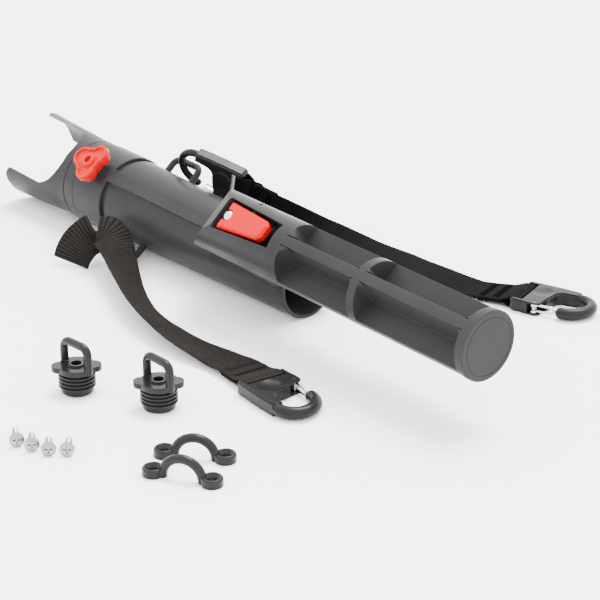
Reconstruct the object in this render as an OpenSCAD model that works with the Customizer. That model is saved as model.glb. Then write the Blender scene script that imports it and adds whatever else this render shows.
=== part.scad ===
// Fishing rod holder with an open fork mouth, two tethers with snap hooks,
// two eye plugs, two pad eyes and their screws.
// Millimetres, +Z up. Z = 0 is the surface that everything lies on.
// The holder is drawn in its own frame and then laid down by in_holder():
// its X runs along the tube, 0 at the post's end face and negative towards
// the mouth, its Y = Z = 0 is the tube's axis, and its Z points at the post.

/* [Holder] */
// Radius of the mounting post
post_r = 19.6; // [19.4:0.1:19.7]
// Radius of the rim at the post's end, which guides it into its mount
end_rim_r = 20; // [19.9:0.1:20.3]
// Length of the mounting post behind the latch block
post_len = 149; // [140:1:155]
// Distance from the tube's axis up to the post's axis
post_rise = 42; // [41.5:0.5:43]
// Outer radius of the tube at its open rear rim
rim_r = 22; // [21.8:0.1:22.4]
// Outer radius of the collar at the front of the tube
collar_r = 27.2; // [27:0.1:27.6]
// Radius of the rear bore that the rod butt passes through
bore_r = 19.8; // [19.4:0.1:20]
// Outer radius at the tips of the two prongs
tip_r = 29.5; // [29:0.1:30]
// Roll of the holder about its tube as it lies
roll = 41; // [40:0.5:42]

/* [Bails] */
// Radius of the bails' round bar
bail_r = 2.2; // [2:0.1:2.4]
// Reach of the back bail's bar from the tube's axis
back_reach = 37; // [36.6:0.1:38]

/* [Knob, lever and plunger] */
// Radius of each of the knob's three lobes
lobe_r = 7.1; // [6.8:0.1:7.2]
// Distance from the knob's axis to the middle of each lobe
lobe_out = 7.3; // [7:0.1:7.6]
// Radius of the lever's steel cross pin
pin_r = 1.5; // [1.4:0.1:1.6]
// Radius of the plunger's stem
stem_r = 2; // [1.9:0.1:2.1]
// Running clearance between a shaft and its hole
running = 0.05; // [0.03:0.01:0.08]

/* [Webbing and hooks] */
// Width of the webbing
web_w = 25.4; // [24.5:0.1:25.4]
// Thickness of the webbing
web_t = 1.8; // [1.5:0.1:2]
// Thickness of a snap hook's body
hook_t = 8; // [8:0.1:8.4]
// Radius of the round bar of the hooks that lie on the floor
jaw_r = 3.6; // [3.4:0.1:3.7]
// Radius of the round bar of the hook that is clipped to the back bail
inner_jaw_r = 2.4; // [2.2:0.1:2.4]

/* [Loose fittings] */
// Radius of the eye plugs' plain pilot
pilot_r = 9; // [8.5:0.1:9.2]
// Radius of the eye plugs' thread crests
thread_r = 10.3; // [10:0.1:10.5]
// Distance between a pad eye's two screw holes
pad_spacing = 32.3; // [32:0.1:33]
// Radius of a pad eye's screw holes
pad_hole_r = 2.4; // [2.3:0.1:2.6]

/* [Hidden] */
$fn = 96;
e = 0.05;

grey = "#4d4b50";
black = "#2b2927";
red = "#dc2837";
steel = "#b9bcc0";
brassy = "#b59a55";
web_brown = "#473e39";

// Stations along the holder
rim_x = -170;
bore_end_x = -197;
groove_back_x = -340;
groove_front_x = -344;
collar_x = -345;
step_x = -348;
collar_end_x = -374;
ring_end_x = -392;
tip_x = -451;
block_front_x = -252;
knob_x = -358;
plunger_x = -200;
lever_x = -188;
lever_z = 53.5;
bail_x = [-333, -308];

// The holder's resting place: rear rim, collar and front bail all touch Z = 0
pitch = atan((collar_r - rim_r) / (rim_x - collar_end_x));
rest_x = 225;
rest_y = 97.3;
rest_z = rim_r * cos(pitch) + rim_x * sin(pitch);
front_reach = (rest_z - (bail_x[0] + bail_x[1]) / 2 * sin(pitch) - bail_r - 0.1) / sin(roll);

module in_holder()
  translate([rest_x, rest_y, rest_z])
    rotate([0, pitch, 0])
      rotate([roll, 0, 0])
        children();

// Revolves [radius, x] points about the X axis
module about_x() rotate([0, 90, 0]) rotate_extrude() children();

// A round bar along X, from x0 to x1
module bar_x(x0, x1, r) translate([x0, 0, 0]) rotate([0, 90, 0]) cylinder(r = r, h = x1 - x0);

// A round hole or pin along Y
module bar_y(y0, y1, r) translate([0, y1, 0]) rotate([90, 0, 0]) cylinder(r = r, h = y1 - y0);

// Outer radius of the tube at station x
function tube_r(x) = rim_r + (collar_r - 1 - rim_r) * (x - rim_x) / (collar_x - rim_x);

module tube_outline(grow = 0)
  polygon([
    [0, rim_x + 1 + grow], [rim_r - 0.8 + grow, rim_x + 1 + grow], [rim_r + grow, rim_x - 0.8],
    [tube_r(collar_x) + grow, collar_x], [collar_r + grow, collar_x], [collar_r + grow, collar_end_x - grow],
    [0, collar_end_x - grow]
  ]);

// ---- Tube -------------------------------------------------------------

bore_front_r = 23.6;
spigot_bore_r = 24.6;

module tube_shell()
  about_x() polygon([
    [bore_r, rim_x], [rim_r - 0.8, rim_x], [rim_r, rim_x - 0.8],
    [tube_r(groove_back_x), groove_back_x], [tube_r(groove_back_x) - 1.3, groove_back_x],
    [tube_r(groove_back_x) - 1.3, groove_front_x], [collar_r - 0.5, groove_front_x],
    [collar_r, groove_front_x - 0.6], [collar_r, collar_end_x + 0.5], [collar_r - 0.5, collar_end_x],
    [spigot_bore_r, collar_end_x], [spigot_bore_r, step_x], [bore_front_r, step_x],
    [bore_front_r, collar_x], [bore_r, bore_end_x]
  ]);

// Flat raised ridge that runs from the collar back into the latch block
ridge_half_w = 4.5;
ridge_end_x = -242;
module ridge()
  translate([0, ridge_half_w, 0]) rotate([90, 0, 0]) linear_extrude(2 * ridge_half_w)
    polygon([
      [collar_x + 2, tube_r(collar_x) - 1.7], [collar_x + 2, 28.2], [-300, 27.3],
      [ridge_end_x, 26.2], [ridge_end_x, tube_r(ridge_end_x) - 1.7]
    ]);

boss_top = 30;
module rod_tube()
  color(grey) in_holder() difference() {
    union() {
      tube_shell();
      ridge();
      translate([knob_x, 0, spigot_bore_r + 0.6]) cylinder(r = 7.5, h = boss_top - spigot_bore_r - 0.6);
    }
    translate([knob_x, 0, 25]) cylinder(r = insert_r, h = 10);
    translate([knob_x, 0, 20]) cylinder(r = stud_r + 0.2, h = 10);
    translate([plunger_x, 0, 15]) cylinder(r = stem_r + 0.2, h = 12);
  }

// ---- Mouth ------------------------------------------------------------

mouth_bore_r = 21.8;
prong_edge = 22.6;
saddle_r = 8;

// Outline of the gap between the prongs, seen from above
module saddle()
  union() {
    translate([tip_x - 2, -prong_edge]) square([tip_x * -1 - 411.6 + 2, 2 * prong_edge]);
    polygon([
      [-412, -prong_edge], [-412, prong_edge], [-411.6, prong_edge], [-406, 21], [-401, 18.6],
      [-396.5, 14.8], [-393.6, 10.6], [ring_end_x, 5.5], [ring_end_x, -5.5], [-393.6, -10.6],
      [-396.5, -14.8], [-401, -18.6], [-406, -21], [-411.6, -prong_edge]
    ]);
  }

// Outline of one prong's tip, seen from the side: what is cut off at its corners
tip_round = 10;
tip_half_w = 18.4;
module tip_corners()
  difference() {
    translate([tip_x - 2, -30]) square([tip_round + 2, 60]);
    for (s = [-1, 1])
      translate([tip_x + tip_round, s * (tip_half_w - tip_round)]) circle(r = tip_round);
    translate([tip_x, -(tip_half_w - tip_round)]) square([tip_round + 1, 2 * (tip_half_w - tip_round)]);
  }

module mouth_shell()
  about_x() polygon([
    [mouth_bore_r, step_x - 0.5], [spigot_bore_r - 0.1, step_x - 0.5], [spigot_bore_r - 0.1, -355.6],
    [23.3, -355.6], [23.3, -360.4], [spigot_bore_r - 0.1, -360.4],
    [spigot_bore_r - 0.1, collar_end_x - 0.4], [26.4, collar_end_x - 0.4], [26.8, collar_end_x - 0.9],
    [26.8, -383.6], [26.1, -383.9], [26.1, -384.5], [26.8, -384.8],
    [26.8, ring_end_x], [tip_r, tip_x], [tip_r - 2.4, tip_x], [24.3, ring_end_x - 4], [mouth_bore_r, -384]
  ]);

module mouth_collar()
  color(grey) in_holder() difference() {
    mouth_shell();
    translate([0, 0, -40]) linear_extrude(80) saddle();
    translate([0, 40, 0]) rotate([90, 0, 0]) linear_extrude(80) tip_corners();
  }

// ---- Latch block ------------------------------------------------------

pocket_floor = 48.5;
chamber_r = 4.2;
chamber_floor = 30;

// Web between the block's barrel and the tube, narrowing to its front
module block_web()
  translate([0, 0, 12]) linear_extrude(20)
    polygon([
      [-249, 5.4], [-221, 12.2], [-206, 14.5], [-189, 15.4], [-172, 15.4],
      [-172, -15.4], [-189, -15.4], [-206, -14.5], [-221, -12.2], [-249, -5.4]
    ]);

module lever_pocket()
  translate([0, 0, pocket_floor]) linear_extrude(20)
    polygon([[-206, 10.8], [-157, 8.2], [-157, -8.2], [-206, -10.8]]);

module latch_block()
  color(grey) in_holder() difference() {
    union() {
      translate([0, 0, post_rise]) bar_x(block_front_x, -post_len, post_r);
      block_web();
    }
    // Slanted front, with a narrow bevel round its rim
    translate([-212, -40, 58]) rotate([0, 43.3, 0]) translate([-60, 0, -80]) cube([60, 80, 140]);
    translate([-209.6, -40, 58]) rotate([0, 66, 0]) translate([-60, 0, -12]) cube([60, 80, 60]);
    lever_pocket();
    about_x() tube_outline(e);
    translate([0, 0, lever_z]) translate([lever_x, 0, 0]) bar_y(-13, 30, pin_r);
    translate([plunger_x, 0, 10]) cylinder(r = stem_r + 0.2, h = 30);
    translate([plunger_x, 0, chamber_floor]) cylinder(r = chamber_r, h = 30);
    // Slot over the ridge's end
    translate([-260, -ridge_half_w - e, 10]) cube([260 + ridge_end_x + e, 2 * ridge_half_w + 2 * e, 16.5]);
  }

// ---- Mounting post ----------------------------------------------------

pocket_base = 2.6;
spine_top = 3.2;
spine_base = 5.5;
mid_disc = [-88.5, -83];
cap_t = 4;

// Cuts one round corner, where the pocket's end wall meets the spine
module pocket_corner(x, y, r, sx)
  difference() {
    translate([sx > 0 ? x : x - r, y]) square(r);
    translate([x + sx * r, y + r]) circle(r = r);
  }

// One of the post's four pockets, from x0 to x1, on the +Y side and above the middle
module post_pocket(x0, x1, r0, r1)
  translate([0, 0, post_rise]) intersection() {
    translate([x0, 0, 0]) rotate([90, 0, 90]) linear_extrude(x1 - x0)
      polygon([[spine_base, pocket_base], [25, pocket_base], [25, 25], [spine_top - 0.9, 25]]);
    linear_extrude(30) difference() {
      translate([x0, 0]) square([x1 - x0, 30]);
      pocket_corner(x0, spine_top + 0.6, r0, 1);
      pocket_corner(x1, spine_top + 0.6, r1, -1);
    }
  }

module mounting_post()
  color(grey) in_holder() difference() {
    translate([0, 0, post_rise]) bar_x(-post_len, -cap_t, post_r);
    for (sy = [0, 1], sz = [0, 1])
      mirror([0, sy, 0]) translate([0, 0, post_rise]) mirror([0, 0, sz]) translate([0, 0, -post_rise]) {
        post_pocket(-post_len + 0.5, mid_disc[0], 8, 3);
        post_pocket(mid_disc[1], -cap_t - 2, 3, 3);
      }
  }

module post_end_cap()
  color(grey) in_holder() translate([0, 0, post_rise]) about_x()
    polygon([
      [0, -cap_t], [end_rim_r, -cap_t], [end_rim_r, -0.7], [end_rim_r - 0.7, 0], [end_rim_r - 3, 0],
      [end_rim_r - 3.3, -0.4], [end_rim_r - 3.8, -0.4], [end_rim_r - 4.1, 0], [0, 0]
    ]);

// ---- Bails ------------------------------------------------------------

bail_corner = 5;

// A bail that stands out along +Y, with its bar at the given reach
module bail(reach)
  difference() {
    union() {
      for (x = bail_x)
        translate([x, 0, 0]) bar_y(22, reach - bail_corner, bail_r);
      translate([0, reach, 0]) bar_x(bail_x[0] + bail_corner, bail_x[1] - bail_corner, bail_r);
      for (i = [0, 1])
        translate([bail_x[i] + (i == 0 ? 1 : -1) * bail_corner, reach - bail_corner, 0])
          rotate([0, 0, i == 0 ? 90 : 0]) rotate_extrude(angle = 90)
            translate([bail_corner, 0]) circle(r = bail_r);
    }
    about_x() tube_outline(e);
  }

module front_bail() color(grey) in_holder() mirror([0, 1, 0]) bail(front_reach);
module back_bail() color(grey) in_holder() bail(back_reach);

// ---- Clamp knob -------------------------------------------------------

stud_r = 2.95;
insert_r = 4.2;
knob_base = 30.5;
knob_top = 38.2;
knob_skirt = 34.6;
lobe_angles = [174, 54, -66];

module trefoil(grow)
  union() {
    for (a = lobe_angles)
      rotate(a) translate([lobe_out, 0]) circle(r = lobe_r + grow);
    circle(r = 9.6 + grow);
  }

module clamp_knob()
  color(red) in_holder() translate([knob_x, 0, 0]) difference() {
    union() {
      difference() {
        union() {
          translate([0, 0, knob_skirt]) linear_extrude(knob_top - 0.5 - knob_skirt) trefoil(0);
          translate([0, 0, knob_top - 0.6]) linear_extrude(0.6) trefoil(-0.5);
        }
        translate([0, 0, knob_top - 1.3]) linear_extrude(5) difference() {
          trefoil(-1.9);
          circle(r = 5.2);
        }
      }
      translate([0, 0, knob_base]) linear_extrude(knob_skirt - knob_base + 0.1) trefoil(-2.2);
      translate([0, 0, knob_skirt]) cylinder(r = 4.6, h = knob_top + 0.4 - knob_skirt);
    }
    translate([0, 0, knob_base - 1]) cylinder(r = stud_r, h = 5.6);
    translate([0, 0, knob_top - 1.8]) cylinder(r = 2.6, h = 5);
  }

module knob_stud()
  color(steel) in_holder() translate([knob_x, 0, 0]) rotate_extrude()
    polygon([[0, 23.7], [1.9, 23.7], [1.9, 25.2], [stud_r, 25.6], [stud_r, knob_base + 4.6], [0, knob_base + 4.6]]);

module stud_insert()
  color(brassy) in_holder() translate([knob_x, 0, 25]) difference() {
    cylinder(r = insert_r, h = boss_top - 25);
    translate([0, 0, -1]) cylinder(r = stud_r + running, h = 10);
  }

// ---- Release lever ----------------------------------------------------

lever_slope = 3.4;
lever_back = -15.7;
lever_front = 21.8;

module lever_plan(inset)
  polygon([
    [lever_back + inset, 9.2 - inset], [lever_front - 3, 6.5 - inset], [lever_front - inset, 4 - inset],
    [lever_front - inset, inset - 4], [lever_front - 3, inset - 6.5], [lever_back + inset, inset - 9.2]
  ]);

module release_lever()
  color(red) in_holder() translate([lever_x, 0, lever_z]) difference() {
    union() {
      rotate([0, -lever_slope, 0]) hull() {
        translate([0, 0, 0.8]) linear_extrude(3.4) lever_plan(0);
        translate([0, 0, 0.8]) linear_extrude(5.1) lever_plan(1.4);
      }
      bar_y(-7.5, 7.5, 4);
    }
    bar_y(-12, 12, pin_r + running);
    rotate([0, -lever_slope, 0]) {
      translate([-12, 0, -5]) cylinder(r = stem_r + 0.7, h = 20);
      translate([-22, -stem_r - 0.7, -5]) cube([10, 2 * stem_r + 1.4, 20]);
      translate([-12, 0, 3.9]) cylinder(r = head_r + 0.5, h = 20);
      translate([-22, -head_r - 0.5, 3.9]) cube([10, 2 * head_r + 1, 20]);
    }
  }

module lever_pin()
  color(steel) in_holder() translate([lever_x, 0, lever_z]) bar_y(-13, 14.5, pin_r);

// ---- Plunger ----------------------------------------------------------

head_r = 3.2;
nose_z = 17.3;
head_z = 56.9;
ring_z = 31.5;
ring_t = 1.6;
cap_z = 45.5;

module lock_plunger()
  color(steel) in_holder() translate([plunger_x, 0, 0]) rotate_extrude()
    polygon(concat(
      [[0, nose_z], [stem_r - 0.8, nose_z], [stem_r, nose_z + 0.8], [stem_r, head_z], [head_r, head_z]],
      [for (i = [0:6]) [head_r * cos(15 * i), head_z + 1 + 1.7 * sin(15 * i)]]
    ));

module plunger_ring()
  color(brassy) in_holder() translate([plunger_x, 0, ring_z]) difference() {
    cylinder(r = 3.9, h = ring_t);
    translate([0, 0, -1]) cylinder(r = stem_r, h = ring_t + 2);
  }

module spring_cap()
  color(brassy) in_holder() translate([plunger_x, 0, cap_z]) difference() {
    cylinder(r = chamber_r, h = pocket_floor - cap_z);
    translate([0, 0, -1]) cylinder(r = stem_r + running, h = 10);
  }

// A helix of round wire about Z, from z0 to z1
function helix_ring(r, a, z, wire_r, sides) = [
  for (j = [0:sides - 1])
    let (b = 360 * j / sides)
      [(r + wire_r * cos(b)) * cos(a), (r + wire_r * cos(b)) * sin(a), z + wire_r * sin(b)]
];
module helix(r, wire_r, z0, z1, turns, sides = 8, per_turn = 18) {
  n = turns * per_turn;
  points = [
    for (i = [0:n])
      each helix_ring(r, 360 * i / per_turn, z0 + wire_r + (z1 - z0 - 2 * wire_r) * i / n, wire_r, sides)
  ];
  walls = [
    for (i = [0:n - 1], j = [0:sides - 1])
      let (k = (j + 1) % sides)
        [i * sides + j, (i + 1) * sides + j, (i + 1) * sides + k, i * sides + k]
  ];
  first = [for (j = [0:sides - 1]) j];
  last = [for (j = [sides - 1:-1:0]) n * sides + j];
  polyhedron(points = points, faces = concat([first], walls, [last]), convexity = 8);
}

module plunger_spring()
  color(steel) in_holder() translate([plunger_x, 0, 0])
    helix(3.15, 0.45, ring_z + ring_t + e, cap_z - e, 7);

// ---- Snap hooks -------------------------------------------------------
// A hook's own frame: X from its webbing end to its jaw, Y towards its gate,
// Z = 0 halfway through its thickness.

jaw_centre = [33, -1];
jaw_upper_r = 13;
jaw_lower_r = 10.5;
jaw_floor = jaw_centre[1] - jaw_lower_r;
gate_hinge = [15.5, 12.6];
bar_half = 2.2;

function arc(cx, cy, r, a0, a1, n) = [
  for (i = [0:n]) [cx + r * cos(a0 + (a1 - a0) * i / n), cy + r * sin(a0 + (a1 - a0) * i / n)]
];

module hook_outline(inset)
  polygon(concat(
    arc(2.5, -13.3, 2.5 - inset, 180, 270, 6),
    [[14, -15.8 + inset], [23, -15.6 + inset], [30, -15.2 + inset], [35, -14.8 + inset]],
    [[35, -8.2 - inset], [30, -7.8 - inset]],
    arc(27.4, -2.5, 5.2 + inset, 270, 180, 8),
    [[21.6 - inset, 3], [20.8 - inset, 8]],
    arc(16.4, 12.2, 3.9 - inset, -10, 80, 6),
    [[12.5, 16.1 - inset], [8, 15.2 - inset]],
    arc(2.5, 12.4, 2.5 - inset, 90, 180, 6)
  ));

module hook_plate()
  union() {
    translate([0, 0, -hook_t / 2 + 1]) linear_extrude(hook_t - 2) hook_outline(0);
    for (s = [-1, 1])
      translate([0, 0, s * (hook_t / 2 - 0.5) - 0.5]) linear_extrude(1) hook_outline(0.9);
  }

module jaw(r)
  union() {
    translate([jaw_centre[0], jaw_centre[1], 0]) {
      rotate_extrude(angle = 90) translate([jaw_upper_r, 0]) circle(r = r);
      translate([0, jaw_upper_r, 0]) sphere(r = r);
    }
    translate([jaw_centre[0] + jaw_upper_r - jaw_lower_r, jaw_centre[1], 0])
      rotate([0, 0, -90]) rotate_extrude(angle = 90) translate([jaw_lower_r, 0]) circle(r = r);
    translate([0, jaw_floor, 0]) bar_x(26, jaw_centre[0] + jaw_upper_r - jaw_lower_r, r);
  }

module hook_body(r)
  difference() {
    union() {
      hook_plate();
      jaw(r);
    }
    // Slot for the webbing
    translate([4.6, -web_w / 2 - 0.2, -10]) cube([3.4, web_w + 0.4, 20]);
    // Both faces are set back at the bar that the webbing wraps
    for (s = [-1, 1])
      translate([-1, -web_w / 2 - 0.2, s * (bar_half + 5) - 5]) cube([6, web_w + 0.4, 10]);
    // Thumb dishes on both faces
    for (s = [-1, 1])
      translate([14.6, -3.6, s * (hook_t / 2 + 22.6)]) sphere(r = 23.6, $fn = 64);
    // Slot that the gate's root turns in
    translate([gate_hinge[0] - 3.2, gate_hinge[1] - 4, -3]) cube([14, 12, 6]);
    translate([gate_hinge[0] + 1, gate_hinge[1] - 6.5, -3]) cube([10, 12, 6]);
    translate([gate_hinge[0], gate_hinge[1], -10]) cylinder(r = 1, h = 20);
  }

gate_len = 13.5;
gate_swing = -4;
gate_wire_r = 0.75;
gate_half = 1.9;
gate_eye_r = 2.2;

// A bent wire loop between two eyes that turn on the gate's pin
module gate()
  translate([gate_hinge[0], gate_hinge[1], 0]) difference() {
    rotate([0, 0, gate_swing]) union() {
      for (s = [-1, 1]) {
        translate([0, 0, s * 2.05 - 0.55]) cylinder(r = gate_eye_r, h = 1.1);
        translate([0, 0, s * gate_half]) bar_x(1.5, gate_len - gate_wire_r - gate_half, gate_wire_r);
      }
      translate([gate_len - gate_wire_r - gate_half, 0, 0]) rotate([90, 0, 0]) rotate([0, 0, -90])
        rotate_extrude(angle = 180) translate([gate_half, 0]) circle(r = gate_wire_r);
    }
    translate([0, 0, -5]) cylinder(r = 1 + running, h = 10);
  }

module gate_pin()
  translate([gate_hinge[0], gate_hinge[1], -hook_t / 2 + 0.3]) cylinder(r = 1, h = hook_t - 0.6);

module gate_spring()
  translate([gate_hinge[0], gate_hinge[1], 0]) helix(1.6, 0.2, -1, 1, 3, 6, 14);

// Where each hook lies
module at_back_inner()
  in_holder() translate([-322, 29.4, 0])
    rotate([68, 0, 0]) rotate([0, 0, 180]) rotate([0, -18, 0]) rotate([0, 0, -23])
      translate([-jaw_centre[0] - jaw_upper_r, -jaw_centre[1] - 12, 0])
        children();
module at_back_outer() translate([120, 208.8, hook_t / 2]) rotate([180, 0, 18]) children();
module at_front() translate([106.5, 15, hook_t / 2]) rotate([0, 0, -7.5]) children();

module back_inner_hook() color(black) at_back_inner() hook_body(inner_jaw_r);
module back_inner_gate() color(steel) at_back_inner() gate();
module back_inner_pin() color(steel) at_back_inner() gate_pin();
module back_inner_spring() color(steel) at_back_inner() gate_spring();
module back_outer_hook() color(black) at_back_outer() hook_body(jaw_r);
module back_outer_gate() color(steel) at_back_outer() gate();
module back_outer_pin() color(steel) at_back_outer() gate_pin();
module back_outer_spring() color(steel) at_back_outer() gate_spring();
module front_hook() color(black) at_front() hook_body(jaw_r);
module front_gate() color(steel) at_front() gate();
module front_pin() color(steel) at_front() gate_pin();
module front_spring() color(steel) at_front() gate_spring();

// ---- Webbing ----------------------------------------------------------
// Each route point is [x, y, z, wx, wy, wz]: a place on the middle line,
// and the direction that the webbing's width points there.

back_route = [
  [-53.2, 135.2, 41.65, -0.4, 0.19, -0.9], [-43.5, 139.3, 36, -0.33, 0.1, -0.93], [-34, 142.7, 31.5, -0.22, -0.05, -0.97],
  [-24, 145.5, 27.6, -0.08, -0.23, -0.97], [-14, 149, 24, 0.08, -0.42, -0.91], [-4, 153, 21.2, 0.25, -0.56, -0.79],
  [6, 157.5, 19.3, 0.39, -0.67, -0.64], [17, 163, 17.3, 0.49, -0.74, -0.46], [29, 170.5, 14.2, 0.57, -0.77, -0.29],
  [39, 178.5, 11.4, 0.61, -0.78, -0.16], [48, 186, 8.5, 0.59, -0.81, -0.07], [55, 191.8, 5.4, 0.5, -0.86, 0],
  [63, 196.3, 2.8, 0.36, -0.93, 0], [74, 198.6, 1.4, 0.2, -0.98, 0], [86, 199.5, 1.2, 0.12, -0.99, 0],
  [98, 201.6, 1.6, 0.2, -0.98, 0], [109, 204.9, 3, 0.29, -0.96, 0], [120.3, 208.9, 4, 0.31, -0.95, 0]
];
front_route = [
  [-104.8, 36.8, 2.4, 0.9, 0.42, -0.1], [-104.3, 39, 8, 0.86, 0.5, -0.02], [-102.8, 43, 13.8, 0.75, 0.62, 0.1],
  [-100.3, 48, 18.3, 0.64, 0.7, 0.22], [-97, 52.5, 20.9, 0.55, 0.77, 0.3], [-92.8, 55.3, 21.3, 0.48, 0.81, 0.3],
  [-88, 55.8, 19.8, 0.43, 0.87, 0.12], [-82, 54.3, 17.3, 0.38, 0.9, -0.1], [-74, 50.8, 14.8, 0.34, 0.88, -0.3],
  [-62, 45.2, 11.6, 0.31, 0.82, -0.48], [-47.5, 38, 9.6, 0.32, 0.76, -0.57], [-31.5, 30.5, 8.9, 0.31, 0.73, -0.61],
  [-12.5, 22.6, 8.6, 0.24, 0.77, -0.59], [5.5, 18.1, 7.4, 0.13, 0.86, -0.5], [19.5, 16.4, 6.3, 0.07, 0.91, -0.41],
  [33, 15.2, 5.3, 0.02, 0.94, -0.33], [47, 15.3, 4.3, -0.06, 0.97, -0.25], [59.8, 16.9, 3.2, -0.08, 0.98, -0.15],
  [70.5, 17.9, 2.7, -0.02, 1, -0.08], [83, 18, 2.8, 0.05, 1, -0.04], [95, 16.8, 3.3, 0.11, 0.99, 0],
  [106.8, 14.95, 4, 0.13, 0.99, 0]
];

// A point at parameter t of a smooth curve through p, between its points i and i + 1
function blend(a, b, c, d, t) =
  0.5 * (2 * b + (c - a) * t + (2 * a - 5 * b + 4 * c - d) * t * t + (3 * b - a - 3 * c + d) * t * t * t);
function at(p, i) = p[max(0, min(len(p) - 1, i))];
function smooth(p, steps) = [
  for (i = [0:len(p) - 2], s = [0:steps - 1])
    blend(at(p, i - 1), at(p, i), at(p, i + 1), at(p, i + 2), s / steps),
  p[len(p) - 1]
];
function place(q) = [q[0], q[1], q[2]];
function unit(v) = v / norm(v);
function tangent(p, i) = unit(place(at(p, i + 1)) - place(at(p, i - 1)));
function across(p, i) =
  let (t = tangent(p, i), w = [p[i][3], p[i][4], p[i][5]])
    unit(w - (w * t) * t);

// The eight corners of the webbing's flat section, as [across, through]
web_section = [
  [-web_w / 2, -web_t / 4], [-web_w / 2 + web_t / 4, -web_t / 2],
  [web_w / 2 - web_t / 4, -web_t / 2], [web_w / 2, -web_t / 4],
  [web_w / 2, web_t / 4], [web_w / 2 - web_t / 4, web_t / 2],
  [-web_w / 2 + web_t / 4, web_t / 2], [-web_w / 2, web_t / 4]
];

module webbing(route) {
  p = smooth(route, 3);
  n = len(p);
  m = len(web_section);
  points = [
    for (i = [0:n - 1])
      let (w = across(p, i), u = cross(tangent(p, i), w))
        each [for (s = web_section) place(p[i]) + s[0] * w + s[1] * u]
  ];
  walls = [
    for (i = [0:n - 2], j = [0:m - 1])
      let (k = (j + 1) % m)
        each [[i * m + j, i * m + k, (i + 1) * m + k], [i * m + j, (i + 1) * m + k, (i + 1) * m + j]]
  ];
  first = [for (j = [m - 1:-1:0]) j];
  last = [for (j = [0:m - 1]) (n - 1) * m + j];
  polyhedron(points = points, faces = concat([first], walls, [last]), convexity = 8);
}

module back_web() color(web_brown) webbing(back_route);
module front_web() color(web_brown) webbing(front_route);

// ---- Eye plugs --------------------------------------------------------

flange_z = 13;
loop_half = 9.8;
loop_bend = 4.6;
loop_bar_r = 2.35;
loop_top = 28.3;
plug_boss_top = 17;

module eye_plug()
  difference() {
    union() {
      rotate_extrude() polygon(concat(
        [[0, 0], [pilot_r - 0.8, 0], [pilot_r, 0.8], [pilot_r, 3.4]],
        [for (i = [0:3]) each [[thread_r, 4.1 + 2.2 * i], [thread_r, 4.7 + 2.2 * i], [pilot_r, 5.4 + 2.2 * i]]],
        [[pilot_r, flange_z + 0.5], [0, flange_z + 0.5]]
      ));
      translate([0, 0, flange_z]) cylinder(r = 10.6, h = 3);
      // Two ears
      translate([0, 0, flange_z]) linear_extrude(3) for (s = [-1, 1])
        translate([s * 9, 0]) circle(r = 4.8);
      // Loop: two legs, two bends and a straight bar between them
      rotate([0, 0, -49]) {
        for (s = [-1, 1]) {
          translate([s * loop_half, 0, flange_z]) cylinder(r = loop_bar_r, h = loop_top - loop_bend - flange_z);
          translate([s * (loop_half - loop_bend), 0, loop_top - loop_bend]) rotate([90, 0, s > 0 ? 0 : 180])
            rotate_extrude(angle = 90) translate([loop_bend, 0]) circle(r = loop_bar_r);
        }
        translate([0, 0, loop_top]) bar_x(loop_bend - loop_half, loop_half - loop_bend, loop_bar_r);
      }
      translate([0, 0, flange_z]) cylinder(r = 4.4, h = plug_boss_top - flange_z);
    }
    translate([0, 0, flange_z - 6]) cylinder(r = 3, h = 20 - flange_z + 6);
  }

module eye_plug_left() color(black) translate([44.3, -64, 0]) rotate([0, 0, 54]) eye_plug();
module eye_plug_right() color(black) translate([89.7, -42.3, 0]) rotate([0, 0, 50]) eye_plug();

// ---- Pad eyes and screws ----------------------------------------------

foot_r = 5.75;
foot_h = 4.6;
arch_r = 11;
arch_bar_r = 2.5;

module pad_eye()
  difference() {
    union() {
      for (s = [-1, 1])
        translate([s * pad_spacing / 2, 0, 0]) rotate_extrude()
          polygon([[0, 0], [foot_r, 0], [foot_r, foot_h - 0.8], [foot_r - 0.8, foot_h], [0, foot_h]]);
      intersection() {
        translate([0, 0, 0.5]) rotate([90, 0, 0]) rotate_extrude() translate([arch_r, 0]) circle(r = arch_bar_r);
        translate([-20, -10, 0]) cube([40, 20, 20]);
      }
    }
    for (s = [-1, 1])
      translate([s * pad_spacing / 2, 0, 0]) {
        translate([0, 0, -1]) cylinder(r = pad_hole_r, h = 10);
        translate([0, 0, foot_h - 2]) cylinder(r1 = pad_hole_r, r2 = pad_hole_r + 2.02, h = 2.02);
      }
  }

module pad_eye_back() color(black) translate([147.9, -63.9, 0]) rotate([0, 0, 38]) pad_eye();
module pad_eye_front() color(black) translate([161.8, -82.9, 0]) rotate([0, 0, 29]) pad_eye();

screw_head_r = 4;
screw_len = 20;
screw_tilt = asin((screw_head_r - 0.4) / screw_len);
screw_places = [[77.5, -126, 150], [87, -123, 147], [96.9, -119.5, 146], [103.5, -112.5, 142]];

// A countersunk cross-head screw with its point at the origin, along +Z
module screw()
  difference() {
    rotate_extrude() polygon(concat(
      [[0, 0], [0.5, 0.4]],
      [for (i = [0:9]) each [[0.95 + 0.09 * min(i, 4), 1.2 + 1.5 * i], [1.5 + 0.1 * min(i, 4), 1.9 + 1.5 * i]]],
      [[1.5, 16.4], [1.5, 17.2], [screw_head_r, screw_len - 0.6], [screw_head_r, screw_len - 0.2]],
      [[2.6, screw_len + 0.6], [0, screw_len + 0.9]]
    ), $fn = 32);
    for (a = [0, 90])
      rotate([0, 0, a]) translate([-2.2, -0.45, screw_len - 1.4]) cube([4.4, 0.9, 4]);
  }

// Screws lie with their heads at the places given and their points at the given angle
module pad_eye_screws()
  color(steel)
    for (s = screw_places)
      translate([s[0], s[1], screw_head_r + 0.05]) rotate([0, 0, s[2]]) rotate([0, screw_tilt - 90, 0])
        translate([0, 0, -screw_len]) screw();

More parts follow.
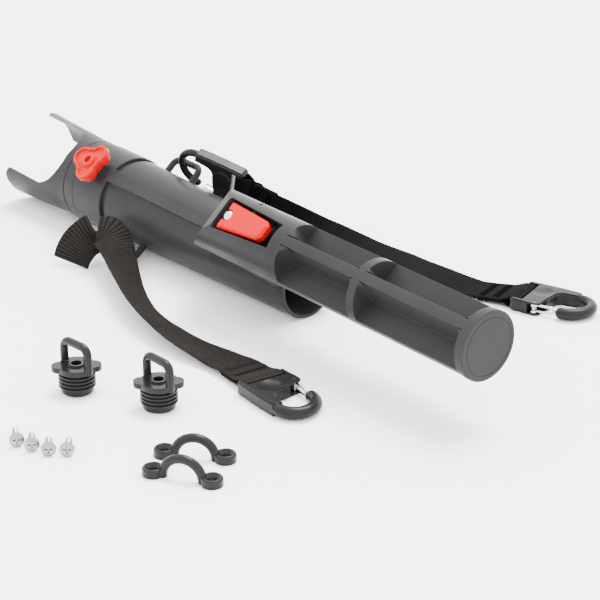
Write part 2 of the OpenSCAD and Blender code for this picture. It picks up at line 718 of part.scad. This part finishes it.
rod_tube();
mouth_collar();
latch_block();
mounting_post();
post_end_cap();
front_bail();
back_bail();
clamp_knob();
knob_stud();
stud_insert();
release_lever();
lever_pin();
lock_plunger();
plunger_ring();
plunger_spring();
spring_cap();
back_inner_hook();
back_inner_gate();
back_inner_pin();
back_inner_spring();
back_outer_hook();
back_outer_gate();
back_outer_pin();
back_outer_spring();
front_hook();
front_gate();
front_pin();
front_spring();
back_web();
front_web();
eye_plug_left();
eye_plug_right();
pad_eye_back();
pad_eye_front();
pad_eye_screws();
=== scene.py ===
"""Looks of the fishing rod holder, its tethers and its loose fittings."""
import math

import bmesh
import bpy
import numpy as np
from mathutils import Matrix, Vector


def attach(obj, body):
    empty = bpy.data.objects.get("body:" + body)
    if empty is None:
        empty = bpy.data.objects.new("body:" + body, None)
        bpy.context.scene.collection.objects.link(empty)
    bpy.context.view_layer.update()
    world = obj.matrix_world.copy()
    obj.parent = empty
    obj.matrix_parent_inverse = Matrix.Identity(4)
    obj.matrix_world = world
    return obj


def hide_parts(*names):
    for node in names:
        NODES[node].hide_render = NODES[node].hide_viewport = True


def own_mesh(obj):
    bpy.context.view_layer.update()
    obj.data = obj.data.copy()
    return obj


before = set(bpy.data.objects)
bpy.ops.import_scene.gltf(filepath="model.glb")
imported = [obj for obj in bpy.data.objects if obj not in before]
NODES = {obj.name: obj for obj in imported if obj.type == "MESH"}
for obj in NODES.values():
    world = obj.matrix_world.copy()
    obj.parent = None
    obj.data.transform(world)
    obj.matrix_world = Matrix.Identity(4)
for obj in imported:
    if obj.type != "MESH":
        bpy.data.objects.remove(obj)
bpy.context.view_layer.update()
MM = 0.001

# ---- Camera -------------------------------------------------------------

CAMERA_AT = Vector((0.8656, -0.6206, 0.4859))
CAMERA_AZIMUTH = 48.79
CAMERA_ELEVATION = 23.66
CAMERA_LENS = 119.55


def make_camera():
    data = bpy.data.cameras.new("camera")
    data.sensor_width = 36
    data.lens = CAMERA_LENS
    data.clip_start = 0.05
    data.clip_end = 20
    camera = bpy.data.objects.new("camera", data)
    bpy.context.collection.objects.link(camera)
    camera.location = CAMERA_AT
    azimuth = math.radians(CAMERA_AZIMUTH)
    elevation = math.radians(CAMERA_ELEVATION)
    back = Vector((
        math.sin(azimuth) * math.cos(elevation),
        -math.cos(azimuth) * math.cos(elevation),
        math.sin(elevation),
    ))
    camera.rotation_mode = "QUATERNION"
    camera.rotation_quaternion = (-back).to_track_quat("-Z", "Y")
    bpy.context.scene.camera = camera


make_camera()

# ---- Webbing --------------------------------------------------------------
# Route points are (x, y, z, wx, wy, wz) in millimetres: a place on the middle
# line, and the direction that the webbing's width points there.

BACK_ROUTE = (
    (-53.2, 135.2, 41.65, -0.4, 0.19, -0.9), (-43.5, 139.3, 36, -0.33, 0.1, -0.93),
    (-34, 142.7, 31.5, -0.22, -0.05, -0.97), (-24, 145.5, 27.6, -0.08, -0.23, -0.97),
    (-14, 149, 24, 0.08, -0.42, -0.91), (-4, 153, 21.2, 0.25, -0.56, -0.79),
    (6, 157.5, 19.3, 0.39, -0.67, -0.64), (17, 163, 17.3, 0.49, -0.74, -0.46),
    (29, 170.5, 14.2, 0.57, -0.77, -0.29), (39, 178.5, 11.4, 0.61, -0.78, -0.16),
    (48, 186, 8.5, 0.59, -0.81, -0.07), (55, 191.8, 5.4, 0.5, -0.86, 0),
    (63, 196.3, 2.8, 0.36, -0.93, 0), (74, 198.6, 1.4, 0.2, -0.98, 0),
    (86, 199.5, 1.2, 0.12, -0.99, 0), (98, 201.6, 1.6, 0.2, -0.98, 0),
    (109, 204.9, 3, 0.29, -0.96, 0), (120.3, 208.9, 4, 0.31, -0.95, 0),
)
FRONT_ROUTE = (
    (-104.8, 36.8, 2.4, 0.9, 0.42, -0.1), (-104.3, 39, 8, 0.86, 0.5, -0.02),
    (-102.8, 43, 13.8, 0.75, 0.62, 0.1), (-100.3, 48, 18.3, 0.64, 0.7, 0.22),
    (-97, 52.5, 20.9, 0.55, 0.77, 0.3), (-92.8, 55.3, 21.3, 0.48, 0.81, 0.3),
    (-88, 55.8, 19.8, 0.43, 0.87, 0.12), (-82, 54.3, 17.3, 0.38, 0.9, -0.1),
    (-74, 50.8, 14.8, 0.34, 0.88, -0.3), (-62, 45.2, 11.6, 0.31, 0.82, -0.48),
    (-47.5, 38, 9.6, 0.32, 0.76, -0.57), (-31.5, 30.5, 8.9, 0.31, 0.73, -0.61),
    (-12.5, 22.6, 8.6, 0.24, 0.77, -0.59), (5.5, 18.1, 7.4, 0.13, 0.86, -0.5),
    (19.5, 16.4, 6.3, 0.07, 0.91, -0.41), (33, 15.2, 5.3, 0.02, 0.94, -0.33),
    (47, 15.3, 4.3, -0.06, 0.97, -0.25), (59.8, 16.9, 3.2, -0.08, 0.98, -0.15),
    (70.5, 17.9, 2.7, -0.02, 1, -0.08), (83, 18, 2.8, 0.05, 1, -0.04),
    (95, 16.8, 3.3, 0.11, 0.99, 0), (106.8, 14.95, 4, 0.13, 0.99, 0),
)
# Each hook's strap end: its place, the way to its jaw, the way of its width
INNER_END = ((-52.13, 135.67, 41.29), (-0.868, -0.396, 0.299), (-0.395, 0.186, -0.9))
OUTER_END = ((120, 208.8, 4), (0.951, 0.309, 0), (0.309, -0.951, 0))
FRONT_END = ((106.5, 15, 4), (0.991, -0.131, 0), (0.131, 0.991, 0))

WEB_HALF = 12.6
WEB_THICK = 1.4
RIB_PITCH = 1.9
# The sewn-back ply: half the gap between the two plies, how far it rises over
# the hook's bar, and how far from the bar it ends
PLY = 0.8
RISE = 2.95
PLY_END = 23
# The main ply is back on its route this far from the hook's end, and comes
# down to it over the last SETTLING millimetres
SETTLED = 34
SETTLING = 10
# The route's last stretch at a hook is replaced by the loop round its bar
LOOP_REACH = 5
# Points per rib, half a rib's height, and how far a rib stands out at the edges
RIB_SAMPLES = 6
RIB_RELIEF = 0.25
SELVEDGE = 0.16
# Two rows of tacking, at these distances from the hook's end
STITCH_ROWS = (9.5, 18.5)
STITCH_HALF = 10.8
STITCH_RADIUS = 0.22


def smooth(rows, steps):
    """A Catmull-Rom curve through the rows."""
    rows = np.asarray(rows, float)
    last = len(rows) - 1
    out = []
    for i in range(last):
        a, b, c, d = (rows[min(max(k, 0), last)] for k in (i - 1, i, i + 1, i + 2))
        for t in np.arange(steps) / steps:
            out.append(0.5 * (2 * b + (c - a) * t + (2 * a - 5 * b + 4 * c - d) * t * t
                              + (3 * b - a - 3 * c + d) * t ** 3))
    out.append(rows[last])
    return np.array(out)


def along(points):
    """Distance along a line of points."""
    steps = np.linalg.norm(np.diff(points[:, :3], axis=0), axis=1)
    return np.concatenate(([0.0], np.cumsum(steps)))


def resample(rows, pitch):
    s = along(rows)
    at = np.arange(0, s[-1], pitch)
    return np.stack([np.interp(at, s, rows[:, k]) for k in range(rows.shape[1])], axis=1)


def unit(rows):
    return rows / np.linalg.norm(rows, axis=1)[:, None]


def frames(rows):
    """Middle line, width direction and face direction at every row."""
    middle = rows[:, :3]
    way = unit(np.gradient(middle, axis=0))
    width = rows[:, 3:6]
    width = unit(width - np.sum(width * way, axis=1)[:, None] * way)
    return middle, width, np.cross(way, width)


def loop_round_bar(end, side, entering):
    """Rows that wrap the webbing round a hook's strap bar.

    side is +1 where the main ply lies on the hook's own upper face.
    """
    place, way, width = (np.array(v, float) for v in end)
    up = np.cross(way, width) * side
    upper = ((-3.2, 1.9), (-0.4, RISE), (2, RISE), (4.2, RISE), (5.3, 2.1))
    profile = upper + ((5.55, 0),) + tuple((x, -z) for x, z in reversed(upper))
    rows = [np.concatenate((place + x * way + z * up, width)) for x, z in profile]
    return rows if entering else rows[::-1]


def tether(route, start=None, finish=None):
    """The whole webbing: its sewn-back plies, the loops round the bars and the run between."""
    fine = resample(smooth(route, 8), 1.0)
    middle, width, face = frames(fine)
    s = along(fine)
    total = s[-1]
    rows = []
    lift = np.zeros(len(s))
    if start:
        near = np.clip((SETTLED - s) / SETTLING, 0, 1)
        lift += PLY * near * near * (3 - 2 * near) * start[1]
    if finish:
        near = np.clip((SETTLED - (total - s)) / SETTLING, 0, 1)
        lift += PLY * near * near * (3 - 2 * near) * finish[1]
    main = np.concatenate((middle + lift[:, None] * face, width), axis=1)
    under = np.concatenate((middle - lift[:, None] * face, width), axis=1)
    first, last = 0, len(s)
    if start:
        first = int(np.argmax(s > LOOP_REACH))
        ply = [r for r, d in zip(under, s) if LOOP_REACH < d < PLY_END][::-1]
        rows += ply[::4] + loop_round_bar(start[0], start[2], False)
    if finish:
        last = len(s) - int(np.argmax((total - s)[::-1] > LOOP_REACH))
    rows += list(main[first:last:4])
    if finish:
        ply = [r for r, d in zip(under, total - s) if LOOP_REACH < d < PLY_END][::-1]
        rows += loop_round_bar(finish[0], finish[2], True) + ply[::4]
    return np.array(rows)


def make_webbing(name, rows):
    """A woven band with cross ribs, rounded selvedges and a little unevenness."""
    rng = np.random.default_rng(len(rows))
    fine = resample(smooth(rows, 24), RIB_PITCH / RIB_SAMPLES)
    middle, width, face = frames(fine)
    s = along(fine)
    rib = np.abs(np.sin(math.pi * s / RIB_PITCH)) ** 0.6
    stations = np.arange(0, s[-1] + 9, 9)
    wobble = np.interp(s, stations, rng.normal(0, 0.1, len(stations)))
    columns = np.concatenate((
        [-1, -0.992, -0.975], np.linspace(-0.94, 0.94, 15), [0.975, 0.992, 1]))
    edge = np.sqrt(np.clip(1 - np.abs(columns) ** 40, 0, 1))
    half = WEB_HALF + SELVEDGE * rib + wobble
    verts = []
    for top in (1, -1):
        cols = columns if top == 1 else columns[::-1]
        shape = edge if top == 1 else edge[::-1]
        ribs = rib if top == 1 else 1 - rib
        relief = 2 * RIB_RELIEF * ribs[:, None] * (0.35 + 0.65 * shape[None, :])
        height = top * shape[None, :] * (WEB_THICK / 2 - RIB_RELIEF + relief)
        verts.append(middle[:, None, :] + width[:, None, :] * (half[:, None] * cols[None, :])[..., None]
                     + face[:, None, :] * height[..., None])
    loop = np.concatenate(verts, axis=1)
    count, around = loop.shape[:2]
    points = loop.reshape(-1, 3) * MM
    faces = [
        (i * around + j, i * around + (j + 1) % around,
         (i + 1) * around + (j + 1) % around, (i + 1) * around + j)
        for i in range(count - 1) for j in range(around)]
    faces.append(tuple(range(around))[::-1])
    faces.append(tuple((count - 1) * around + j for j in range(around)))
    band = make_mesh(name, points, faces)
    places = np.empty(count * around * 2)
    places[0::2] = np.tile(np.concatenate((columns, columns[::-1])) * WEB_HALF * MM, count)
    places[1::2] = np.repeat(s * MM, around)
    corners = np.empty(len(band.data.loops), int)
    band.data.loops.foreach_get("vertex_index", corners)
    layer = band.data.uv_layers.new(name="weave")
    layer.data.foreach_set("uv", places.reshape(-1, 2)[corners].ravel())
    return band


def make_mesh(name, points, faces, flat=False):
    mesh = bpy.data.meshes.new(name)
    mesh.from_pydata([tuple(p) for p in points], [], faces)
    bm = bmesh.new()
    bm.from_mesh(mesh)
    bmesh.ops.recalc_face_normals(bm, faces=bm.faces)
    bm.to_mesh(mesh)
    bm.free()
    for polygon in mesh.polygons:
        polygon.use_smooth = not flat
    piece = bpy.data.objects.new(name, mesh)
    bpy.context.collection.objects.link(piece)
    return piece


def make_thread(name, lines, radius, sides=6):
    """One mesh of thin round threads, each along its own line of points."""
    points = []
    faces = []
    for line in lines:
        line = np.asarray(line, float)
        way = unit(np.gradient(line, axis=0))
        helper = np.array((0.31, 0.22, 0.92))
        a = unit(np.cross(way, helper))
        b = np.cross(way, a)
        base = len(points)
        for i in range(len(line)):
            r = radius * (0.45 if i in (0, len(line) - 1) else 1)
            for j in range(sides):
                turn = 2 * math.pi * j / sides
                points.append((line[i] + r * (math.cos(turn) * a[i] + math.sin(turn) * b[i])) * MM)
        for i in range(len(line) - 1):
            for j in range(sides):
                k = (j + 1) % sides
                faces.append((base + i * sides + j, base + i * sides + k,
                              base + (i + 1) * sides + k, base + (i + 1) * sides + j))
        faces.append(tuple(base + j for j in range(sides)))
        faces.append(tuple(base + (len(line) - 1) * sides + j for j in range(sides))[::-1])
    return make_mesh(name, points, faces)


def stitches(name, route, at_start, side):
    """Two rows of zigzag tacking across the webbing's sewn end, and loose thread ends beside it."""
    fine = resample(smooth(route, 8), 0.5)
    middle, width, face = frames(fine)
    s = along(fine)
    back = s if at_start else s[-1] - s
    lines = []
    for row in STITCH_ROWS:
        for start in (row, row + 2.2):
            across = np.arange(-STITCH_HALF, STITCH_HALF + 0.01, 0.5)
            distance = start + 0.75 * (np.arange(len(across)) % 2 * 2 - 1)
            index = np.array([int(np.argmin(np.abs(back - d))) for d in distance])
            lines.append(middle[index] + width[index] * across[:, None]
                         + face[index] * side * (PLY + WEB_THICK / 2 + 0.12))
    tail = np.linspace(0, 1, 7)[:, None]
    for edge in (-1, 1):
        k = int(np.argmin(np.abs(back - (PLY_END - 0.5))))
        base = middle[k] + edge * (WEB_HALF - 0.4) * width[k]
        lines.append(base + tail * (edge * 1.9 * width[k] + 0.5 * face[k] * side)
                     + np.sin(tail * 2.6) * np.array((0.5, -0.2, 0.5)))
    return make_thread(name, lines, STITCH_RADIUS)


def make_tether(name, route, node, start=None, finish=None):
    """One tether's webbing and stitching."""
    band = make_webbing(name + "_webbing", tether(route, start, finish))
    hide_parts(node)
    pieces = [band]
    if start:
        pieces.append(stitches(name + "_start_stitches", route, True, start[1]))
    pieces.append(stitches(name + "_end_stitches", route, False, finish[1]))
    for piece in pieces:
        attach(piece, "holder")
    return pieces


BACK_PIECES = make_tether("back", BACK_ROUTE, "back_web",
                          (INNER_END, -1, 1), (OUTER_END, -1, -1))
FRONT_PIECES = make_tether("front", FRONT_ROUTE, "front_web", None, (FRONT_END, 1, 1))

# ---- Plunger spring -------------------------------------------------------


def make_spring():
    """The plunger's coil spring, as a copy of the model's spring riding with the holder."""
    spring = bpy.data.objects.new("plunger_coil", NODES["plunger_spring"].data.copy())
    bpy.context.collection.objects.link(spring)
    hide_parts("plunger_spring")
    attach(spring, "holder")
    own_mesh(spring)
    return spring


SPRING = make_spring()

# ---- Node helpers ---------------------------------------------------------


class Nodes:
    """A small builder for one material's node tree."""

    def __init__(self, name):
        self.material = bpy.data.materials.new(name)
        self.material.use_nodes = True
        self.tree = self.material.node_tree
        self.tree.nodes.clear()
        self.out = self.add("ShaderNodeOutputMaterial")
        self.shader = self.add("ShaderNodeBsdfPrincipled")
        self.link(self.shader.outputs[0], self.out.inputs[0])

    def add(self, kind, **values):
        node = self.tree.nodes.new(kind)
        for key, value in values.items():
            if key in node.inputs:
                node.inputs[key].default_value = value
            else:
                setattr(node, key, value)
        return node

    def link(self, a, b):
        self.tree.links.new(a, b)

    def place(self, scale=(1, 1, 1)):
        """Object coordinates, scaled."""
        coordinates = self.add("ShaderNodeTexCoord")
        mapping = self.add("ShaderNodeMapping")
        mapping.inputs["Scale"].default_value = scale
        self.link(coordinates.outputs["Object"], mapping.inputs[0])
        return mapping.outputs[0]

    def noise(self, place, scale, detail=3.0, roughness=0.55):
        node = self.add("ShaderNodeTexNoise")
        node.inputs["Scale"].default_value = scale
        node.inputs["Detail"].default_value = detail
        node.inputs["Roughness"].default_value = roughness
        self.link(place, node.inputs["Vector"])
        return node.outputs["Fac"]

    def ramp(self, source, stops):
        node = self.add("ShaderNodeValToRGB")
        elements = node.color_ramp.elements
        while len(elements) < len(stops):
            elements.new(0.5)
        for element, (at, colour) in zip(elements, stops):
            element.position = at
            element.color = colour if len(colour) == 4 else (*colour, 1)
        self.link(source, node.inputs[0])
        return node.outputs[0]

    def span(self, source, low, high, from_low=0.0, from_high=1.0):
        node = self.add("ShaderNodeMapRange")
        values = (("From Min", from_low), ("From Max", from_high), ("To Min", low), ("To Max", high))
        for key, value in values:
            node.inputs[key].default_value = value
        self.link(source, node.inputs["Value"])
        return node.outputs[0]

    def mix(self, factor, a, b, kind="MIX"):
        node = self.add("ShaderNodeMix", data_type="RGBA", blend_type=kind)
        for socket, value in ((node.inputs[0], factor), (node.inputs[6], a), (node.inputs[7], b)):
            if isinstance(value, (tuple, float, int)):
                socket.default_value = value if isinstance(value, (float, int)) else (*value, 1)
            else:
                self.link(value, socket)
        return node.outputs[2]

    def bump(self, height, distance, strength=1.0, normal=None):
        node = self.add("ShaderNodeBump")
        node.inputs["Distance"].default_value = distance
        node.inputs["Strength"].default_value = strength
        self.link(height, node.inputs["Height"])
        if normal is not None:
            self.link(normal, node.inputs["Normal"])
        return node.outputs[0]

    def soft_edges(self, radius):
        """A normal that rounds sharp edges off."""
        node = self.add("ShaderNodeBevel")
        node.samples = 6
        node.inputs["Radius"].default_value = radius
        return node.outputs[0]

    def edge_mask(self, rounded):
        """1 along sharp edges, 0 on open faces."""
        geometry = self.add("ShaderNodeNewGeometry")
        dot = self.add("ShaderNodeVectorMath", operation="DOT_PRODUCT")
        self.link(geometry.outputs["Normal"], dot.inputs[0])
        self.link(rounded, dot.inputs[1])
        return self.span(dot.outputs["Value"], 1.0, 0.0, 0.9, 1.0)

    def set(self, key, value):
        socket = self.shader.inputs[key]
        if isinstance(value, (float, int, tuple)):
            socket.default_value = value
        else:
            self.link(value, socket)


def plastic(name, dark, light, roughness, grain=0.00003, edge_radius=0.0004,
            shine=0.3, edge_light=0.25):
    """Moulded plastic: fine texture, faint flow marks, and a painted highlight along every sharp edge."""
    n = Nodes(name)
    place = n.place()
    broad = n.noise(place, 14, 4)
    fine = n.noise(place, 900, 2, 0.6)
    colour = n.ramp(broad, ((0.3, dark), (0.7, light)))
    rounded = n.soft_edges(edge_radius)
    edge = n.edge_mask(rounded)
    # Every sharp edge is painted paler, by edge_light: a painted highlight, not wear.
    painted_edge_highlight_colour = tuple(min(1.0, c * 1.5 + 0.006) for c in light)
    painted_edge_highlight_mask = n.add("ShaderNodeMath", operation="MULTIPLY")
    n.link(edge, painted_edge_highlight_mask.inputs[0])
    painted_edge_highlight_mask.inputs[1].default_value = edge_light
    colour = n.mix(painted_edge_highlight_mask.outputs[0], colour, painted_edge_highlight_colour)
    n.set("Base Color", colour)
    smudge = n.noise(place, 45, 5, 0.6)
    n.set("Roughness", n.span(smudge, roughness - 0.07, roughness + 0.07, 0.3, 0.7))
    n.set("Normal", n.bump(fine, grain, 1.0, rounded))
    n.set("Specular IOR Level", shine)
    return n.material


def metal(name, colour, roughness, brush=(1, 1, 1), edge_radius=0.00015):
    """Bright metal with faint brushing and handling marks."""
    n = Nodes(name)
    place = n.place(brush)
    marks = n.noise(place, 1200, 3, 0.65)
    n.set("Base Color", n.ramp(n.noise(n.place(), 60, 3), (
        (0.3, tuple(c * 0.86 for c in colour)), (0.7, colour))))
    n.set("Metallic", 1.0)
    n.set("Roughness", n.span(marks, roughness - 0.06, roughness + 0.1, 0.3, 0.7))
    n.set("Normal", n.bump(marks, 0.000004, 1.0, n.soft_edges(edge_radius)))
    return n.material


BODY = plastic("body_plastic", (0.0165, 0.016, 0.017), (0.0225, 0.0218, 0.023), 0.36,
               edge_radius=0.0006, shine=0.06, edge_light=0.6)
RED = plastic("red_plastic", (0.4, 0.0006, 0.0022), (0.47, 0.001, 0.0034), 0.34, grain=0.000015, shine=0.08)
HOOK = plastic("hook_plastic", (0.0068, 0.0063, 0.0061), (0.0098, 0.0092, 0.0089), 0.3,
               edge_radius=0.0008, shine=0.12, edge_light=0.5)
FITTING = plastic("fitting_plastic", (0.0066, 0.0061, 0.0061), (0.0092, 0.0086, 0.0086), 0.25,
                  edge_radius=0.0006, shine=0.16, edge_light=0.5)
STEEL = metal("bright_steel", (0.62, 0.63, 0.64), 0.2)
SCREW = metal("screw_steel", (0.3, 0.3, 0.31), 0.24)
DARK = metal("blackened_steel", (0.03, 0.03, 0.032), 0.4)
BRASS = metal("turned_brass", (0.7, 0.5, 0.24), 0.3)


def woven(name, tone_and_painted_shade):
    """Nylon webbing: yarns along every rib, faded high spots, and painted shade in the grooves between
    ribs.
    """
    n = Nodes(name)
    uv = n.add("ShaderNodeTexCoord").outputs["UV"]
    apart = n.add("ShaderNodeSeparateXYZ")
    n.link(uv, apart.inputs[0])
    wave = apart.outputs["Y"]
    for operation, by in (("MULTIPLY", math.pi / (RIB_PITCH * MM)), ("SINE", 0), ("ABSOLUTE", 0)):
        step = n.add("ShaderNodeMath", operation=operation)
        n.link(wave, step.inputs[0])
        step.inputs[1].default_value = by
        wave = step.outputs[0]
    stretch = n.add("ShaderNodeMapping")
    stretch.inputs["Scale"].default_value = (1, 0.35, 1)
    n.link(uv, stretch.inputs[0])
    yarn = n.noise(stretch.outputs[0], 620, 3, 0.6)
    broad = n.noise(n.place(), 30, 4)
    # The colours are scaled by the second argument: the webbing's own tone, and for the back webbing also
    # painted shade.
    low, high, bright = (tuple(c * tone_and_painted_shade for c in colour) for colour in (
        (0.0078, 0.0068, 0.0063), (0.0118, 0.0102, 0.0094), (0.022, 0.0195, 0.018)))
    colour = n.ramp(broad, ((0.3, low), (0.7, high)))
    colour = n.mix(n.span(yarn, 0, 0.5, 0.45, 0.8), colour, bright)
    # The valleys between ribs are painted nearly black: painted shade in the grooves.
    n.set("Base Color", n.mix(n.span(wave, 0.85, 0, 0.1, 0.7), colour, (0.0016, 0.0013, 0.0012)))
    n.set("Roughness", 0.85)
    n.set("Specular IOR Level", 0.04)
    n.set("Normal", n.bump(yarn, 0.00012, 1.0))
    return n.material


def dress(material, *names):
    for name in names:
        slots = NODES[name].data.materials
        slots.clear()
        slots.append(material)
        for face in NODES[name].data.polygons:
            face.material_index = 0


dress(BODY, "rod_tube", "mouth_collar", "latch_block", "mounting_post", "post_end_cap",
      "front_bail", "back_bail")
dress(RED, "clamp_knob", "release_lever")
dress(STEEL, "knob_stud", "lock_plunger")
dress(SCREW, "pad_eye_screws")
dress(DARK, "lever_pin")
dress(BRASS, "stud_insert", "plunger_ring", "spring_cap")
for hook in ("back_inner", "back_outer", "front"):
    dress(HOOK, hook + "_hook")
    dress(STEEL, hook + "_gate", hook + "_pin", hook + "_spring")
dress(FITTING, "eye_plug_left", "eye_plug_right", "pad_eye_back", "pad_eye_front")

FRONT_WEBBING = woven("webbing_weave", 1.25)
# The back webbing is the same webbing as the front, painted darker: painted shade baked into a shaded copy
# of the material.
SHADED_BACK_WEBBING = woven("painted_shade_webbing_weave", 0.38)
THREAD = woven("stitch_thread", 1.0)


def cover(material, *pieces):
    for piece in pieces:
        piece.data.materials.clear()
        piece.data.materials.append(material)
        for face in piece.data.polygons:
            face.material_index = 0


cover(STEEL, SPRING)
for (band, *threads), webbing in ((BACK_PIECES, SHADED_BACK_WEBBING), (FRONT_PIECES, FRONT_WEBBING)):
    cover(webbing, band)
    cover(THREAD, *threads)

# ---- Stage ----------------------------------------------------------------


def make_floor():
    mesh = bpy.data.meshes.new("floor")
    bm = bmesh.new()
    bmesh.ops.create_grid(bm, x_segments=1, y_segments=1, size=3.0)
    bm.to_mesh(mesh)
    bm.free()
    floor = bpy.data.objects.new("floor", mesh)
    bpy.context.collection.objects.link(floor)
    floor.location.z = -0.0002
    n = Nodes("floor_paper")
    n.set("Base Color", (0.9, 0.9, 0.9, 1))
    n.set("Roughness", 0.9)
    mesh.materials.append(n.material)


def make_sun(name, towards, strength, angle):
    data = bpy.data.lights.new(name, "SUN")
    data.energy = strength
    data.angle = math.radians(angle)
    light = bpy.data.objects.new(name, data)
    bpy.context.collection.objects.link(light)
    light.rotation_mode = "QUATERNION"
    light.rotation_quaternion = Vector(towards).to_track_quat("-Z", "Y")


def make_world(strength):
    world = bpy.data.worlds.new("studio")
    world.use_nodes = True
    world.node_tree.nodes["Background"].inputs[0].default_value = (1, 1, 1, 1)
    world.node_tree.nodes["Background"].inputs[1].default_value = strength
    bpy.context.scene.world = world


make_floor()
make_world(4.2)
make_sun("softbox", (0.12, -0.4, -1.0), 7.5, 30)
